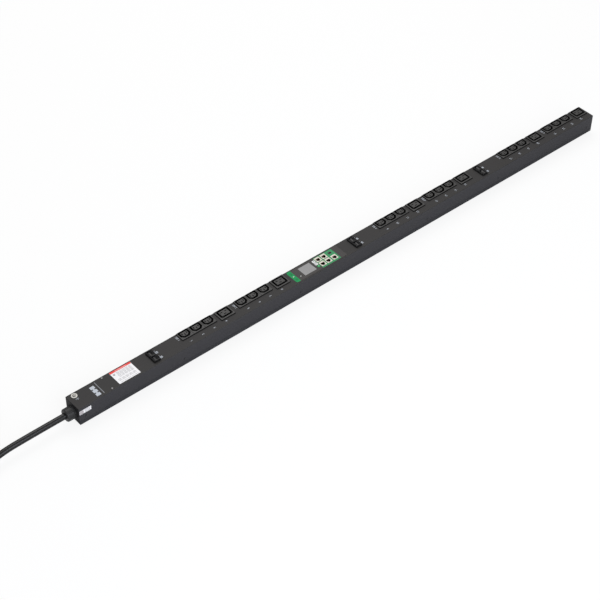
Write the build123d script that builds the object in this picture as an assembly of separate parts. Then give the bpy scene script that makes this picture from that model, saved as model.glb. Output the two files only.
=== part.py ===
from build123d import *
import os
from math import cos, degrees, pi, radians, sin, tan

os.makedirs("parts", exist_ok=True)

# ----- Driving dimensions (mm) -----
# The strip lies on its back: +X runs from the cord end to the far end, +Z out of the outlet face.
length = 1829.0  # case, end to end
width = 56.0  # case, across the outlet face
depth = 54.5  # case, back to outlet face
sheet = 1.2  # steel sheet of the case
bend = 1.6  # outer bend radius of the face's long edges
peg_neck_length = 3.2  # the back stands off its rest by the two mounting pegs
peg_head_height = 2.5
clearance = 0.3  # between separate bodies, and beside the cord
seat_gap = 0.15  # between sheets and parts of one body that lie against each other
running_gap = 0.05  # radial, a pivot in its bore
thread_gap = 0.02  # radial, a screw or nut on what it is screwed to
overshoot = 1.0  # cuts run this far past what they cut
join = 0.01  # parts of one piece share this much, so that they become one solid

back = peg_neck_length + peg_head_height  # height of the case's back
face = back + depth  # height of the outlet face
underside = face - sheet  # inside of the outlet face
cord_end = -length / 2
far_end = length / 2
wall = width / 2 - sheet  # half the inside width

# ----- Layout along the case, from the cord end -----
outlet_pitch = 36.7  # between small outlets in one module
large_outlet_offset = 50.77  # from a bank's last small outlet to its large outlet
bank_pitch = 183.21  # from a bank to the next one of its pair
bank_pair_starts = (350.0, 1018.4, 1495.4)  # first small outlet of banks 1, 3 and 5
breaker_offset = 108.0  # breakers stand this far before their first outlet
outlets_per_module = 3

# ----- Helpers -----


def along(distance):
    """Place on X of a distance from the cord end."""
    return cord_end + distance


def block(size, center, lift=0):
    """Box of a size, centred on X and Y, whose lowest face is at Z = lift."""
    x, y = center
    return Pos(x, y, lift) * Box(*size, align=(Align.CENTER, Align.CENTER, Align.MIN))


def span(low, high):
    """Box between two corners."""
    size = [b - a for a, b in zip(low, high)]
    return Pos(*low) * Box(*size, align=(Align.MIN, Align.MIN, Align.MIN))


def peg(radius, height, center, lift):
    """Upright cylinder whose lowest face is at Z = lift."""
    x, y = center
    return Pos(x, y, lift) * Cylinder(radius, height, align=(Align.CENTER, Align.CENTER, Align.MIN))


def lying(radius, size, place):
    """Cylinder along X that starts at a place and runs towards +X."""
    return Pos(*place) * Rot(0, 90, 0) * Cylinder(radius, size, align=(Align.CENTER, Align.CENTER, Align.MIN))


def crossing(radius, size, place):
    """Cylinder along Y, centred on a place."""
    return Pos(*place) * Rot(90, 0, 0) * Cylinder(radius, size)


def upright(section, amount, lift):
    """A flat section in XY, carried up from Z = lift."""
    return extrude(Pos(0, 0, lift) * section, amount)


def save(node, *pieces):
    """Write one node, as one solid or as a group of separate solids."""
    solids = [solid for piece in pieces for solid in piece.solids()]
    shape = solids[0] if len(solids) == 1 else Compound(children=solids)
    shape.label = node
    export_step(shape, f"parts/{node}.step")


def bank_starts():
    """First small outlet of each of the six banks, along X."""
    return [along(start + step) for start in bank_pair_starts for step in (0.0, bank_pitch)]


# ----- Outlets: sizes -----
flange_height = 3.0  # the modules stand this proud of the face
module_depth = 26.0  # from the face down
module_edge = width / 2 - 1.6  # the modules' edge beside the back long edge
small_flange_y = 28.9
small_body_inset = 1.6  # the body below the flange is smaller by this much each way
large_flange_x = 44.7
large_flange_y = 35.1
small_ring = (28.5, 22.6)  # outer size of the ring groove, small outlet
small_ring_y = module_edge - 13.0
small_chamfer = 7.2
large_ring = (34.2, 26.2)
large_ring_y = module_edge - 16.3
large_ring_radius = 4.5
ring_width = 2.9
ring_depth = 16.5
ring_round = 1.6  # corners of the small ring
inner_round = 1.2  # least corner radius of the large ring's inner side
flange_chamfer = 0.7
slot_depth = 20.0
pin_slot = (2.4, 6.2)  # small outlet: the three slots stand across the case
pin_slot_x = 6.9
pin_slot_y = small_ring_y + 1.6
earth_slot_y = small_ring_y - 2.0
large_slot = (6.8, 2.6)  # large outlet: the three slots lie along the case
large_slot_x = 6.7
large_slot_y = large_ring_y + 3.6
large_earth_y = large_ring_y - 4.3
pocket_growth = 1.7  # the contact's pocket is larger than its slot
pocket_top = 5.0  # plastic over the pocket
module_gap = 0.25  # between module body and the cut-out's edge
ridge = (10.0, 0.9, 1.0)  # snap ridge: length, reach past the body, height
seam = (0.7, 0.8)  # line between two outlets of a module: width, depth

module_back = face - module_depth
small_flange_x = outlets_per_module * outlet_pitch - 0.4
small_flange_mid = module_edge - small_flange_y / 2
large_flange_mid = module_edge - large_flange_y / 2


def small_outline(inset):
    """Outline of the small outlet's ring: a rectangle whose two inner corners are cut off."""
    x = small_ring[0] / 2 - inset
    y = small_ring[1] / 2 - inset
    cut = small_chamfer - inset * (2 - 2**0.5)
    corners = [(-x, y), (x, y), (x, cut - y), (x - cut, -y), (cut - x, -y), (-x, cut - y)]
    shape = make_face(Polyline(*corners, close=True))
    return fillet(shape.vertices(), ring_round)


def large_outline(inset):
    """Outline of the large outlet's ring: a rectangle with round corners."""
    return RectangleRounded(
        large_ring[0] - 2 * inset, large_ring[1] - 2 * inset, max(large_ring_radius - inset, inner_round)
    )


def ring_groove(outline, place):
    """The groove that a plug's shroud enters, open at the face."""
    ring = outline(0) - outline(ring_width)
    top = face + flange_height
    return upright(Pos(*place) * ring, ring_depth + overshoot, top - ring_depth)


def contact_slot(size, place):
    """A pin's slot and, below it, the pocket of its contact."""
    top = face + flange_height
    slot = block((size[0], size[1], slot_depth + overshoot), place, top - slot_depth)
    pocket_size = (size[0] + pocket_growth, size[1] + pocket_growth, module_depth)
    pocket = block(pocket_size, place, top - pocket_top - module_depth)
    return slot + pocket


def module_body(flange, middle, inset):
    """Flange on the face, body through the cut-out, and the snap ridges under the sheet."""
    x, y = middle
    plate = block((flange[0], flange[1], flange_height), middle, face)
    plate = chamfer(plate.faces().sort_by(Axis.Z)[-1].edges(), flange_chamfer)
    body_size = (flange[0] - 2 * inset, flange[1] - 2 * inset, module_depth)
    body = block(body_size, middle, module_back)
    ridge_length, ridge_reach, ridge_height = ridge
    ridge_size = (ridge_length, body_size[1] + 2 * ridge_reach, ridge_height)
    ridge_low = underside - seat_gap - ridge_height
    shift = body_size[0] / 3
    ridges = [block(ridge_size, (x + side * shift, y), ridge_low) for side in (-1, 1)]
    return plate + body + ridges


def small_module(first):
    """Three small outlets in one moulding."""
    middle = (first + outlet_pitch * (outlets_per_module - 1) / 2, small_flange_mid)
    body = module_body((small_flange_x, small_flange_y), middle, small_body_inset)
    for index in range(outlets_per_module):
        x = first + outlet_pitch * index
        body -= ring_groove(small_outline, (x, small_ring_y))
        body -= contact_slot(pin_slot, (x - pin_slot_x, pin_slot_y))
        body -= contact_slot(pin_slot, (x + pin_slot_x, pin_slot_y))
        body -= contact_slot(pin_slot, (x, earth_slot_y))
    for index in range(outlets_per_module - 1):
        place = (first + outlet_pitch * (index + 0.5), small_flange_mid)
        cut = (seam[0], small_flange_y + overshoot, seam[1] + overshoot)
        body -= block(cut, place, face + flange_height - seam[1])
    return body


def large_module(place):
    """One large outlet in its own moulding."""
    body = module_body((large_flange_x, large_flange_y), (place, large_flange_mid), small_body_inset)
    body -= ring_groove(large_outline, (place, large_ring_y))
    body -= contact_slot(large_slot, (place - large_slot_x, large_slot_y))
    body -= contact_slot(large_slot, (place + large_slot_x, large_slot_y))
    body -= contact_slot(large_slot, (place, large_earth_y))
    return body


# ----- Contacts and bus bars -----
bar = (2.2, 2.5)  # bus bar section, across the case and up
bar_drop = 2.0  # from the module's back to the line of the upper bars
line_bar_y = pin_slot_y - 0.6
neutral_bar_y = pin_slot_y + 2.1
earth_bar_y = earth_slot_y + 0.1
low_bar_drop = 4.8  # the line bar runs below the others
foot_height = 1.5
contact_gap = 0.2  # between a contact and its pocket's walls
fork_wall = 0.2  # a fork's mouth is narrower than the pin's slot by this on each side
fork_depth = 12.5  # of a fork's mouth
fork_through = 4.0  # the mouth runs this much past the slot's ends
foot_half = 1.4
tail_x = 2.0


def contact(size, place, bar_y, drop):
    """Brass fork in its pocket, with a foot under the module that reaches its bus bar."""
    x, y = place
    body_x = size[0] + pocket_growth - 2 * contact_gap
    body_y = size[1] + pocket_growth - 2 * contact_gap
    top = face + flange_height - pocket_top - contact_gap
    fork = block((body_x, body_y, top - module_back), place, module_back)
    mouth_x = size[0] + (0 if size[0] < size[1] else fork_through) - 2 * fork_wall
    mouth_y = size[1] + (0 if size[1] < size[0] else fork_through) - 2 * fork_wall
    fork -= block((mouth_x, mouth_y, fork_depth + overshoot), place, top - fork_depth)
    low_y = min(y, bar_y) - bar[0] / 2
    high_y = max(y, bar_y) + bar[0] / 2
    foot_low = module_back - foot_height
    foot = span((x - foot_half, low_y, foot_low), (x + foot_half, high_y, module_back))
    tail = block((tail_x, bar[0], drop - foot_height + join), (x, bar_y), module_back - drop)
    return fork + foot + tail


def small_contacts(first):
    """Line, neutral and earth contacts of three small outlets."""
    made = []
    for index in range(outlets_per_module):
        x = first + outlet_pitch * index
        made.append(contact(pin_slot, (x - pin_slot_x, pin_slot_y), line_bar_y, low_bar_drop))
        made.append(contact(pin_slot, (x + pin_slot_x, pin_slot_y), neutral_bar_y, bar_drop))
        made.append(contact(pin_slot, (x, earth_slot_y), earth_bar_y, bar_drop))
    return made


def large_contacts(place):
    """Line, neutral and earth contacts of one large outlet."""
    return [
        contact(large_slot, (place - large_slot_x, large_slot_y), line_bar_y, low_bar_drop),
        contact(large_slot, (place + large_slot_x, large_slot_y), neutral_bar_y, bar_drop),
        contact(large_slot, (place, large_earth_y), earth_bar_y, bar_drop),
    ]


bar_start = 12.0  # a bank's bars start this far before its first outlet
bar_end = 12.0  # and end this far after its large outlet


def bus_bar(first, bar_y, drop):
    """One bar along a bank's contacts."""
    low = first - bar_start
    high = first + outlet_pitch * (outlets_per_module - 1) + large_outlet_offset + bar_end
    top = module_back - drop
    return span((low, bar_y - bar[0] / 2, top - bar[1]), (high, bar_y + bar[0] / 2, top))


# ----- Breakers -----
breaker_pitch = 20.2  # the two breakers of a pair stand side by side across the case
breaker_x = 20.0
breaker_y = 19.6
breaker_height = 7.0  # guard above the face
guard = 1.7  # guard wall, beside the rocker
breaker_body = (breaker_x - 2.4, breaker_y - 1.8)  # what passes through the face
breaker_depth = 38.0
breaker_round = 4.0  # upper edges of the guard
scoop_radius = 9.0  # finger hollow across the guard
scoop_lift = 2.2  # its axis above the guard
breaker_terminal = (6.3, 0.8, 8.0)
breaker_terminal_y = 5.0
rocker_length = 14.4
pivot_height = 1.6  # pivot axis above the face
pivot_radius = 1.3
pivot_reach = 1.1  # pin into each guard wall
rocker_tilt = 11.0  # each way from level: rest is on, the far limit is off
rocker_top = 4.6  # top of the level rocker above its pivot
rocker_edge = 0.6  # lower edge of its ends, above the pivot
rocker_hub = (2.6, 3.4)  # half width and depth of its hub
hollow_radius = 9.0  # of the rocker's top
hollow_depth = 2.4
rocker_round = 0.5
status_hole = (1.1, 4.0, 4.4)  # radius, depth and place of the hole in the rocker's end
well_depth = 6.5  # well below the face that the rocker swings in


def rocker_swing():
    """How far the tipped rocker reaches from its pivot, along the case."""
    tilt = radians(rocker_tilt)
    return rocker_length / 2 * cos(tilt) + rocker_top * sin(tilt)


def breaker(place):
    """Breaker housing: guard walls round a well, body under the face, two blade terminals."""
    x, y = place
    guard_block = block((breaker_x, breaker_y, breaker_height), place, face)
    guard_block = fillet(guard_block.edges().filter_by(Axis.Y).sort_by(Axis.Z)[-2:], breaker_round)
    inside_y = breaker_y - 2 * guard
    scoop = crossing(scoop_radius, inside_y, (x, y, face + breaker_height + scoop_lift))
    body = block((*breaker_body, breaker_depth), place, face - breaker_depth)
    well_size = (2 * (rocker_swing() + clearance), inside_y, well_depth + breaker_height + overshoot)
    well = block(well_size, place, face - well_depth)
    bore_length = inside_y + 2 * (pivot_reach + clearance)
    bore = crossing(pivot_radius + running_gap, bore_length, (x, y, face + pivot_height))
    terminal_low = face - breaker_depth - breaker_terminal[2]
    shifts = (-breaker_terminal_y, breaker_terminal_y)
    terminals = [block(breaker_terminal, (x, y + shift), terminal_low) for shift in shifts]
    return guard_block + body - scoop - well - bore + terminals


def rocker(place):
    """Rocker with a hollowed top, a hub, two pivot pins and a small status hole, tipped to on."""
    x, y = place
    rocker_y = breaker_y - 2 * guard - 2 * clearance
    half = rocker_length / 2
    hub_half, hub_depth = rocker_hub
    ends = [(-half, rocker_edge), (-half, rocker_top), (half, rocker_top), (half, rocker_edge)]
    hub = [(hub_half, -hub_depth), (-hub_half, -hub_depth)]
    sketch = Plane.XZ * make_face(Polyline(*ends, *hub, close=True))
    body = Pos(0, rocker_y / 2, 0) * extrude(sketch, rocker_y)
    body -= crossing(hollow_radius, rocker_y + overshoot, (0, 0, rocker_top + hollow_radius - hollow_depth))
    body = fillet(body.edges().filter_by(Axis.Y).group_by(Axis.Z)[-1], rocker_round)
    body += crossing(pivot_radius, rocker_y + 2 * (clearance + pivot_reach), (0, 0, 0))
    hole_radius, hole_depth, hole_x = status_hole
    body -= peg(hole_radius, hole_depth, (hole_x, 0), rocker_top + overshoot - hole_depth)
    return Pos(x, y, face + pivot_height) * Rot(0, -rocker_tilt, 0) * body


# ----- Control section -----
overlay_start = 690.5
overlay_end = 864.0
overlay_y = width / 2 - 4.8  # half its width
overlay_thickness = 0.3
overlay_round = 3.0
window_start = 725.6
window_size = (38.8, 32.4)
window_y = 1.1
window_ledge = (2.0, 1.0)  # past the opening on each side, thickness
status_place = (714.6, -8.9)
status_radius = 1.6
status_proud = 0.5
button_x = 776.0
button_size = 8.8
button_round = 1.2
button_edge = 0.5  # round of the cap's top edge
button_flange = (0.55, 1.0)  # under the face: past the cap, thickness
button_stem_radius = 1.6
button_places = {"menu_button_1": 11.3, "menu_button_2": 0.9, "select_button": -9.2}
round_button_radius = 4.1
button_proud = 1.3
button_travel = 0.8
port_label_start = 781.2
port_label_end = 844.4
port_label_y = overlay_y - 1.0
jack_size = (15.9, 16.6)
jack_proud = 1.2
jack_rows = {"upper_jack": (11.2, (790.8, 810.4)), "lower_jack": (-8.7, (790.8, 810.4, 831.2))}
jack_opening = (11.8, 8.6)
jack_latch = (6.2, 2.6)
jack_opening_depth = 13.0
service_port_place = (832.0, 11.6)
service_port_size = (10.0, 8.0)
service_port_hole = (7.6, 3.6)
service_port_proud = 0.6
service_port_depth = 8.0
board_drop = 15.0  # board's upper side below the face
board_thickness = 1.6
board_start = 706.0
board_end = 862.0
board_y = wall - 5.3
switch_size = (6.0, 6.0, 4.0)  # tact switch under each button
standoff_radius = 2.2
standoff_inset = 4.0
chip_size = (22.0, 18.0, 3.0)
chip_inset = 30.0
panel_growth = (7.0, 6.0)  # the panel is larger than its window by this
panel_thickness = 5.0
panel_shift = 0.6
panel_leg = (1.2, 18.0, 15.0)  # radius, and place from the window's middle
light_round = 0.4


def overlay():
    """Thin adhesive overlay with its openings: window, light, buttons and the ports' field."""
    x = along((overlay_start + overlay_end) / 2)
    sheet_face = Pos(x, 0) * RectangleRounded(overlay_end - overlay_start, 2 * overlay_y, overlay_round)
    middle = along(window_start + window_size[0] / 2)
    sheet_face -= Pos(middle, window_y) * Rectangle(window_size[0] + clearance, window_size[1] + clearance)
    sheet_face -= Pos(along(status_place[0]), status_place[1]) * Circle(status_radius + clearance)
    for name, y in button_places.items():
        sheet_face -= Pos(along(button_x), y) * button_outline(name, clearance)
    field_x = along((port_label_start + port_label_end) / 2)
    sheet_face -= Pos(field_x, 0) * Rectangle(port_label_end - port_label_start, 2 * port_label_y)
    return upright(sheet_face, overlay_thickness, face)


def port_label():
    """Second overlay piece, round the jacks, laid in the first one's opening."""
    field_x = along((port_label_start + port_label_end) / 2)
    size_x = port_label_end - port_label_start - 2 * seat_gap
    field = Pos(field_x, 0) * Rectangle(size_x, 2 * (port_label_y - seat_gap))
    for y, places in jack_rows.values():
        for x in places:
            field -= Pos(along(x), y) * Rectangle(jack_size[0] + clearance, jack_size[1] + clearance)
    px, py = service_port_place
    port_cut = Rectangle(service_port_size[0] + clearance, service_port_size[1] + clearance)
    field -= Pos(along(px), py) * port_cut
    return upright(field, overlay_thickness, face)


def button_outline(name, growth):
    """Square menu buttons and a round select button."""
    if name == "select_button":
        return Circle(round_button_radius + growth)
    side = button_size + 2 * growth
    return RectangleRounded(side, side, button_round + growth)


def button(name, y):
    """Cap through the face, a retaining flange under it, and a stem above its switch."""
    place = Pos(along(button_x), y)
    flange_reach, flange_thickness = button_flange
    cap_bottom = underside - clearance - flange_thickness
    cap = upright(place * button_outline(name, 0), face + button_proud - cap_bottom, cap_bottom)
    cap = fillet(cap.faces().sort_by(Axis.Z)[-1].edges(), button_edge)
    flange = upright(place * button_outline(name, flange_reach), flange_thickness, cap_bottom)
    stem_bottom = face - board_drop + switch_size[2] + button_travel + clearance
    stem = peg(button_stem_radius, cap_bottom - stem_bottom, (along(button_x), y), stem_bottom)
    return cap + flange + stem


def board():
    """Control board with its tact switches, standoffs under the face, and a processor block."""
    top = face - board_drop
    low = top - board_thickness
    plate = span((along(board_start), -board_y, low), (along(board_end), board_y, top))
    switches = [block(switch_size, (along(button_x), y), top) for y in button_places.values()]
    standoffs = [
        peg(standoff_radius, board_drop - sheet, (along(x), y), top)
        for x in (board_start + standoff_inset, board_end - standoff_inset)
        for y in (standoff_inset - board_y, board_y - standoff_inset)
    ]
    chip = block(chip_size, (along(board_end - chip_inset), 0), low - chip_size[2])
    return plate + switches + standoffs + chip


def display():
    """Display panel under its window, on four legs that stand on the board."""
    x = along(window_start + window_size[0] / 2)
    low = underside - window_ledge[1] - panel_thickness
    size = (window_size[0] + panel_growth[0], window_size[1] + panel_growth[1], panel_thickness)
    panel = block(size, (x, window_y - panel_shift), low)
    board_top = face - board_drop
    leg_radius, leg_x, leg_y = panel_leg
    legs = [
        peg(leg_radius, low - board_top, (x + sx * leg_x, window_y + sy * leg_y), board_top)
        for sx in (-1, 1)
        for sy in (-1, 1)
    ]
    return panel + legs


def window():
    """Clear window: a plate in the cut-out, with a ledge under the sheet."""
    x = along(window_start + window_size[0] / 2)
    reach, thickness = window_ledge
    plate = block((*window_size, sheet + overlay_thickness), (x, window_y), underside)
    ledge_size = (window_size[0] + 2 * reach, window_size[1] + 2 * reach, thickness)
    ledge = block(ledge_size, (x, window_y), underside - thickness)
    return plate + ledge


def status_light():
    """Light guide: a rod through the face that stands on the board."""
    place = (along(status_place[0]), status_place[1])
    rod = peg(status_radius, board_drop + status_proud, place, face - board_drop)
    return fillet(rod.faces().sort_by(Axis.Z)[-1].edges(), light_round)


def jack(x, y):
    """Network jack: a moulded block with a stepped opening and a latch notch."""
    size_z = board_drop + jack_proud
    body = block((jack_size[0], jack_size[1], size_z), (along(x), y), face - board_drop)
    low = face + jack_proud - jack_opening_depth
    cut_height = jack_opening_depth + overshoot
    body -= block((*jack_opening, cut_height), (along(x), y), low)
    notch_y = y - (jack_opening[1] + jack_latch[1]) / 2
    body -= block((jack_latch[0], jack_latch[1] + join, cut_height), (along(x), notch_y), low)
    return body


def service_port():
    """Small service port beside the upper jacks."""
    x, y = service_port_place
    size_z = board_drop + service_port_proud
    body = block((*service_port_size, size_z), (along(x), y), face - board_drop)
    hole_size = (*service_port_hole, service_port_depth + overshoot)
    hole = block(hole_size, (along(x), y), face - service_port_depth)
    return body - hole


# ----- Case -----
seam_height = 12.0  # rear tray's outer flange
seam_gap = 0.4
lip_height = 26.0  # top of the tray's inner lip above the back
screw_height = 20.0  # side screws above the back
screw_end = 19.5  # first and last side screw, from their end of the case
screw_places = (screw_end, 318.0, 700.0, 1158.0, 1437.0, length - screw_end)
screw_shank = 1.5
screw_head = 3.0
screw_head_height = 1.3
screw_length = 5.0
screw_slot = (3.6, 0.8)
screw_slot_depth = 0.9
end_plate_sheet = 1.5
end_tab_length = 28.0
end_tab_low = 8.0  # tab's edges above the back
end_tab_high = 27.0
face_screw_place = (102.6, 22.2)
face_screw_radius = 2.4
face_screw_shank = 1.25
face_screw_head = 1.0
face_screw_length = 5.0
face_screw_slot = (3.0, 0.7, 0.4)  # length, width and depth of the cross
ground_screw_place = (17.6, 16.4)
ground_flange = (8.2, 1.2)  # radius and thickness
ground_head = (4.6, 2.6)
ground_head_round = 1.1
ground_slot = (5.0, 1.1, 1.1)  # length, width and depth of the cross
ground_shank = 2.5
ground_length = 9.0
head_round = 0.5
gland_height = 25.5  # gland axis above the back
gland_thread_radius = 12.5
peg_spacing = 1556.0
peg_neck_radius = 4.0
peg_head_radius = 6.5
peg_rivet_radius = 2.5
peg_upset = (4.0, 1.2)  # the rivet's head inside the case
peg_chamfer = 0.4
cut_height = 6.0  # of a cut through one sheet, from cut_drop past its face
cut_drop = 4.0
tray_end_gap = 2.2  # the tray's lips stop short of the end plates


def module_cutouts():
    """What the outlet modules, breakers and controls need cut out of the face."""
    cuts = []
    room = 2 * (small_body_inset - module_gap)
    for first in bank_starts():
        x = first + outlet_pitch * (outlets_per_module - 1) / 2
        size = (small_flange_x - room, small_flange_y - room, cut_height)
        cuts.append(block(size, (x, small_flange_mid), face - cut_drop))
        x = first + outlet_pitch * (outlets_per_module - 1) + large_outlet_offset
        size = (large_flange_x - room, large_flange_y - room, cut_height)
        cuts.append(block(size, (x, large_flange_mid), face - cut_drop))
    size = (breaker_body[0] + 2 * module_gap, breaker_body[1] + 2 * module_gap, cut_height)
    for place in breaker_places():
        cuts.append(block(size, place, face - cut_drop))
    return cuts


def breaker_places():
    """The six breakers: a pair before banks 1, 3 and 5."""
    return [
        (along(start - breaker_offset), side * breaker_pitch / 2)
        for start in bank_pair_starts
        for side in (-1, 1)
    ]


def grown(size):
    """A size with the seat gap all round."""
    return [part + 2 * seat_gap for part in size]


def control_cutouts():
    """Openings in the face for the window, the light, the buttons and the ports."""
    x = along(window_start + window_size[0] / 2)
    low = face - cut_drop
    cuts = [block((*grown(window_size), cut_height), (x, window_y), low)]
    status_x, status_y = status_place
    cuts.append(peg(status_radius + seat_gap, cut_height, (along(status_x), status_y), low))
    for name, y in button_places.items():
        cuts.append(upright(Pos(along(button_x), y) * button_outline(name, clearance), cut_height, low))
    for y, places in jack_rows.values():
        for place in places:
            cuts.append(block((*grown(jack_size), cut_height), (along(place), y), low))
    port_x, port_y = service_port_place
    cuts.append(block((*grown(service_port_size), cut_height), (along(port_x), port_y), low))
    return cuts


def screw_holes(radius):
    """Holes across the whole case at the side screws."""
    return [crossing(radius, width + 4, (along(x), 0, back + screw_height)) for x in screw_places]


def front_channel():
    """Outlet face and both sides, bent from one sheet and kept as its flats, edge to edge: the face
    before, around and past the ports, and the two sides."""
    outer = span((cord_end, -width / 2, back + seam_height + seam_gap), (far_end, width / 2, face))
    outer = fillet(outer.edges().filter_by(Axis.X).group_by(Axis.Z)[-1], bend)
    inner = span((cord_end - 1, -wall, back), (far_end + 1, wall, underside))
    inner = fillet(inner.edges().filter_by(Axis.X).group_by(Axis.Z)[-1], bend - sheet)
    channel = outer - inner
    channel -= module_cutouts()
    channel -= control_cutouts()
    channel -= screw_holes(screw_shank + seat_gap)
    x, y = face_screw_place
    low = face - cut_drop
    channel -= [peg(face_screw_shank, cut_height, (along(x), side * y), low) for side in (-1, 1)]
    x, y = ground_screw_place
    channel -= peg(ground_shank, cut_height, (along(x), y), low)
    edges = (cord_end, along(port_label_start), along(port_label_end), far_end)
    flats = [
        span((start, -width / 2, underside), (end, width / 2, face)) for start, end in zip(edges, edges[1:])
    ]
    flats.append(span((cord_end, -width / 2, back), (far_end, 0, underside)))
    flats.append(span((cord_end, 0, back), (far_end, width / 2, underside)))
    return [channel & flat for flat in flats]


def rear_tray():
    """Back of the case: a shallow tray whose lips step inside the channel's sides. It is kept as its
    floor and its two lips, edge to edge."""
    lip = wall - seat_gap
    floor_top = back + sheet
    step_low = back + seam_height - sheet
    lip_start = cord_end + tray_end_gap
    lip_end = far_end - tray_end_gap
    flange = span((cord_end, wall, floor_top), (far_end, width / 2, back + seam_height))
    step = span((lip_start, lip - sheet, step_low), (lip_end, wall, back + seam_height))
    upper = span((lip_start, lip - sheet, step_low), (lip_end, lip, back + lip_height))
    wing = flange + step + upper - screw_holes(screw_shank)
    floor_plate = span((cord_end, -width / 2, back), (far_end, width / 2, floor_top))
    low = floor_top + overshoot - cut_height
    floor_plate -= [peg(peg_rivet_radius, cut_height, (side * peg_spacing / 2, 0), low) for side in (-1, 1)]
    return [floor_plate, wing, mirror(wing, Plane.XZ)]


def end_plate(side):
    """Plate that closes one end, with two tabs that the side screws hold."""
    start = side * length / 2
    inner = start - side * end_plate_sheet
    half_y = wall - seat_gap
    low = back + sheet + seat_gap
    high = underside - seat_gap
    plate = span((min(start, inner), -half_y, low), (max(start, inner), half_y, high))
    tab_y = wall - 2 * seat_gap - sheet
    tab_end = start - side * end_tab_length
    low_z = back + end_tab_low
    high_z = back + end_tab_high
    tab = span((min(start, tab_end), tab_y - sheet, low_z), (max(start, tab_end), tab_y, high_z))
    plate += tab
    plate += mirror(tab, Plane.XZ)
    plate -= screw_holes(screw_shank)
    if side < 0:
        hole_start = (cord_end - overshoot, 0, back + gland_height)
        plate -= lying(gland_thread_radius + seat_gap, end_plate_sheet + 2 * overshoot, hole_start)
    return plate


def side_screws():
    """Pan-head screws through each side into the tray's lips."""
    made = []
    for x in screw_places:
        for side in (-1, 1):
            head = Pos(along(x), side * (width / 2 + screw_head_height / 2), back + screw_height)
            turn = Rot(90, 0, 0)
            disc = head * turn * Cylinder(screw_head, screw_head_height)
            slot_y = side * (screw_head_height - screw_slot_depth)
            disc -= head * Pos(0, slot_y, 0) * turn * Box(*screw_slot, screw_head_height)
            shank_y = side * (width / 2 - screw_length / 2)
            shank = crossing(screw_shank - thread_gap, screw_length, (along(x), shank_y, back + screw_height))
            made.append(disc + shank)
    return made


def cross_recess(slot, place, top):
    """Driver recess in a screw's head: two slots across each other."""
    slot_length, slot_width, depth = slot
    first = block((slot_length, slot_width, depth + overshoot), place, top - depth)
    second = block((slot_width, slot_length, depth + overshoot), place, top - depth)
    return first + second


def face_screws():
    """Two small screws in the outlet face."""
    x, y = face_screw_place
    made = []
    for side in (-1, 1):
        place = (along(x), side * y)
        head = peg(face_screw_radius, face_screw_head, place, face)
        head = fillet(head.edges().group_by(Axis.Z)[-1], head_round)
        head -= cross_recess(face_screw_slot, place, face + face_screw_head)
        shank = peg(face_screw_shank - thread_gap, face_screw_length, place, face - face_screw_length)
        made.append(head + shank)
    return made


def ground_screw():
    """Earth screw with a wide toothed flange and a cross recess."""
    place = (along(ground_screw_place[0]), ground_screw_place[1])
    flange = peg(*ground_flange, place, face)
    flange = fillet(flange.edges().group_by(Axis.Z)[-1], head_round)
    head = peg(*ground_head, place, face)
    head = fillet(head.edges().group_by(Axis.Z)[-1], ground_head_round)
    head -= cross_recess(ground_slot, place, face + ground_head[1])
    flange -= peg(*ground_head, place, face)
    return flange + head + peg(ground_shank - thread_gap, ground_length, place, face - ground_length)


def mounting_pegs():
    """Two headed pegs riveted to the back, for the keyhole slots of a cabinet."""
    made = []
    for side in (-1, 1):
        place = (side * peg_spacing / 2, 0)
        head = peg(peg_head_radius, peg_head_height, place, 0)
        head = chamfer(head.edges(), peg_chamfer)
        neck = peg(peg_neck_radius, peg_neck_length, place, peg_head_height)
        rivet = peg(peg_rivet_radius - thread_gap, sheet, place, back)
        upset = peg(*peg_upset, place, back + sheet)
        made.append(head + neck + rivet + upset)
    return made


# ----- Labels -----
label_thickness = 0.15
face_label_start = 125.0
face_label_size = (63.0, 46.8)
face_label_y = 0.9
face_label_round = 1.0
side_label_start = 1.2
side_label_size = (39.0, 18.0)
side_label_height = 39.5  # middle, above the back


def information_labels():
    """Printed label on the face near the cord end, and a small one on the side."""
    x = along(face_label_start + face_label_size[0] / 2)
    outline = Pos(x, face_label_y) * RectangleRounded(*face_label_size, face_label_round)
    face_label = upright(outline, label_thickness, face)
    x = along(side_label_start)
    size_x, size_z = side_label_size
    low = back + side_label_height - size_z / 2
    side_label = span((x, -width / 2 - label_thickness, low), (x + size_x, -width / 2, low + size_z))
    return [face_label, side_label]


# ----- Wiring inside -----
wire_radius = 1.6
clip_height = 2.0
wire_bend = 6.0
wire_rise = 14.0
wire_floor = back + sheet + clip_height + wire_radius
block_start = 46.0
block_size = (34.0, 40.0, 16.0)
block_pocket = (22.0, 2.5, 5.0)  # clamp pocket: length, wall between two, depth
block_lanes = 4
feed_gap = 6.0  # a breaker's wire rises this far before it
feed_y = 4.0  # first breaker wire, and the step to the next
feed_step = 4.2
bank_wire_y = (-4.0, -7.6)  # wires to a pair's first and second bank
bank_wire_rise = 8.0  # they rise this far before the bank's first outlet
bank_wire_run = (70.0, 250.0)  # and run this far along the floor
earth_wire_y = -17.5
clip_size = (6.0, 2 * wall - 9.6, clip_height)
clip_count = 9
clip_first = 175.0
clip_last = length - 84.0


def wire(points):
    """Round wire along straight runs with rounded corners."""
    path = FilletPolyline(*points, radius=wire_bend)
    return sweep(path.location_at(0) * Circle(wire_radius), path=path)


def terminal_block():
    """Terminal block on the tray's floor, with a row of clamp pockets."""
    x = along(block_start + block_size[0] / 2)
    body = block(block_size, (x, 0), back + sheet)
    pocket_length, pocket_wall, pocket_depth = block_pocket
    lane = block_size[1] / block_lanes
    low = back + sheet + block_size[2] - pocket_depth
    for index in range(block_lanes):
        y = (index - (block_lanes - 1) / 2) * lane
        body -= block((pocket_length, lane - pocket_wall, pocket_depth + overshoot), (x, y), low)
    return body


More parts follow.
